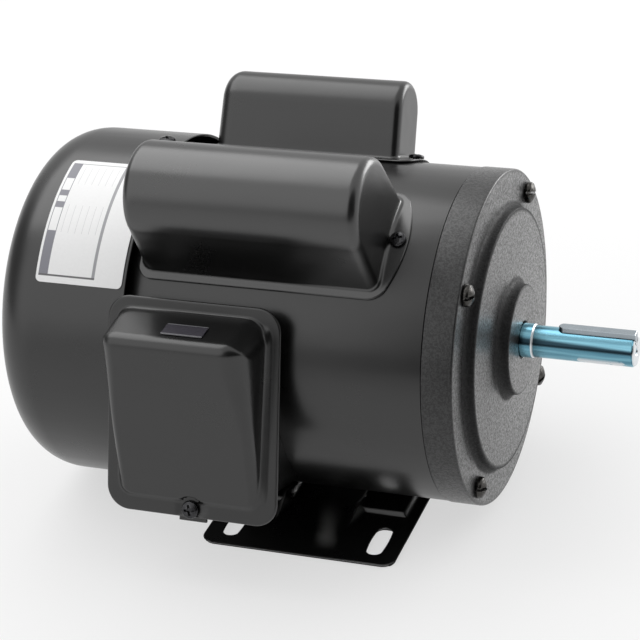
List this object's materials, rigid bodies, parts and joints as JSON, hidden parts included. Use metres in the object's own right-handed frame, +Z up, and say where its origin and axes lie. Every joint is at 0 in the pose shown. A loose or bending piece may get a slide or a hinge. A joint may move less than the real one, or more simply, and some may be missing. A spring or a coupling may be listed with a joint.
{
  "type": "electric motor",
  "caption": "Foot-mounted single-phase electric motor with fan cover, terminal box, start and run capacitor covers, slotted base plate and a keyed shaft.",
  "frame": {"origin": "centre of the foot plane, on the base plate's underside, midway between its four slots", "axes": "+X along the shaft to its free end, +Z up from the feet to the shaft, and the terminal box on the -Y side"},
  "size_m": [0.302, 0.2042, 0.208],
  "materials": {
    "black_paint": "satin",
    "cast_black": "painted, rough",
    "dark_zinc": "plated",
    "black_zinc": "plated",
    "lamination": "matt",
    "copper": "varnished",
    "aluminium": "cast",
    "blued_steel": "polished",
    "steel": "ground",
    "fan_plastic": "satin",
    "capacitor_can": "satin",
    "white_label": "satin",
    "grey_tag": "satin",
    "rubber": "matt",
    "board_tan": "matt",
    "brass": "satin",
    "green_screw": "satin",
    "spool_plastic": "satin"
  },
  "bodies": {
    "housing": {"frame_shell": "black_paint", "base_plate": "black_paint", "fan_cover": "black_paint", "start_capacitor_cover": "black_paint", "run_capacitor_cover": "black_paint", "terminal_box": "black_paint", "terminal_box_cover": "black_paint", "knockout_plug": "black_paint", "front_end_bell": "cast_black", "rear_end_bell": "cast_black", "through_bolt_1": "dark_zinc", "through_bolt_2": "dark_zinc", "through_bolt_3": "dark_zinc", "through_bolt_4": "dark_zinc", "bolt_nut_1": "dark_zinc", "bolt_nut_2": "dark_zinc", "bolt_nut_3": "dark_zinc", "bolt_nut_4": "dark_zinc", "fan_cover_screw_1": "black_zinc", "fan_cover_screw_2": "black_zinc", "fan_cover_screw_3": "black_zinc", "start_capacitor_cover_screw": "black_zinc", "run_capacitor_cover_screw": "black_zinc", "box_cover_screw": "black_zinc", "stator_core": "lamination", "stator_winding": "copper", "front_bearing_outer_ring": "steel", "rear_bearing_outer_ring": "steel", "wave_washer": "steel", "start_capacitor": "capacitor_can", "run_capacitor": "capacitor_can", "nameplate": "white_label", "cover_tag": "grey_tag", "box_gasket": "rubber", "lead_grommet": "rubber", "terminal_board": "board_tan", "switch_board": "board_tan", "terminal_stud_1": "brass", "terminal_stud_2": "brass", "terminal_stud_3": "brass", "fixed_contact": "brass", "ground_screw": "green_screw"},
    "rotor": {"shaft": "blued_steel", "shaft_key": "steel", "rotor_core": "lamination", "rotor_end_ring_front": "aluminium", "rotor_end_ring_rear": "aluminium", "front_bearing_inner_ring": "steel", "rear_bearing_inner_ring": "steel", "cooling_fan": "fan_plastic", "fan_clip": "steel", "governor_disc": "steel"},
    "front_cage": {"front_bearing_balls": "steel"},
    "rear_cage": {"rear_bearing_balls": "steel"},
    "spool": {"governor_spool": "spool_plastic"},
    "weight_top": {"governor_weight_top": "steel"},
    "weight_bottom": {"governor_weight_bottom": "steel"},
    "switch_arm": {"contact_arm": "brass"}
  },
  "joints": [
    {"name": "rotor_spin", "type": "hinge", "parent": "housing", "child": "rotor", "pos_m": [0, 0, 0.0889], "axis": [1, 0, 0], "continuous": true},
    {"name": "front_cage_spin", "type": "hinge", "parent": "housing", "child": "front_cage", "pos_m": [0.0906, 0, 0.0889], "axis": [1, 0, 0], "continuous": true},
    {"name": "rear_cage_spin", "type": "hinge", "parent": "housing", "child": "rear_cage", "pos_m": [-0.0933, 0, 0.0889], "axis": [1, 0, 0], "continuous": true},
    {"name": "governor_slide", "type": "slide", "parent": "rotor", "child": "spool", "axis": [1, 0, 0], "range_m": [0, 0.0025], "stiffness_N_per_m": 200, "springref_m": -0.001},
    {"name": "weight_top_swing", "type": "hinge", "parent": "rotor", "child": "weight_top", "pos_m": [-0.062, 0, 0.1109], "axis": [0, -1, 0], "range_deg": [0, 20.5]},
    {"name": "weight_bottom_swing", "type": "hinge", "parent": "rotor", "child": "weight_bottom", "pos_m": [-0.062, 0, 0.0669], "axis": [0, 1, 0], "range_deg": [0, 20.5]},
    {"name": "contact_arm_swing", "type": "hinge", "parent": "housing", "child": "switch_arm", "pos_m": [-0.0695, 0, 0.0509], "axis": [0, 1, 0], "range_deg": [0, 6.6]}
  ],
  "couplings": [
    {"joint": "front_cage_spin", "follows": "rotor_spin", "ratio": 0.388},
    {"joint": "rear_cage_spin", "follows": "rotor_spin", "ratio": 0.388},
    {"joint": "weight_top_swing", "follows": "governor_slide", "rad_per_m": 138.9},
    {"joint": "weight_bottom_swing", "follows": "governor_slide", "rad_per_m": 138.9},
    {"joint": "contact_arm_swing", "follows": "governor_slide", "rad_per_m": 44}
  ]
}
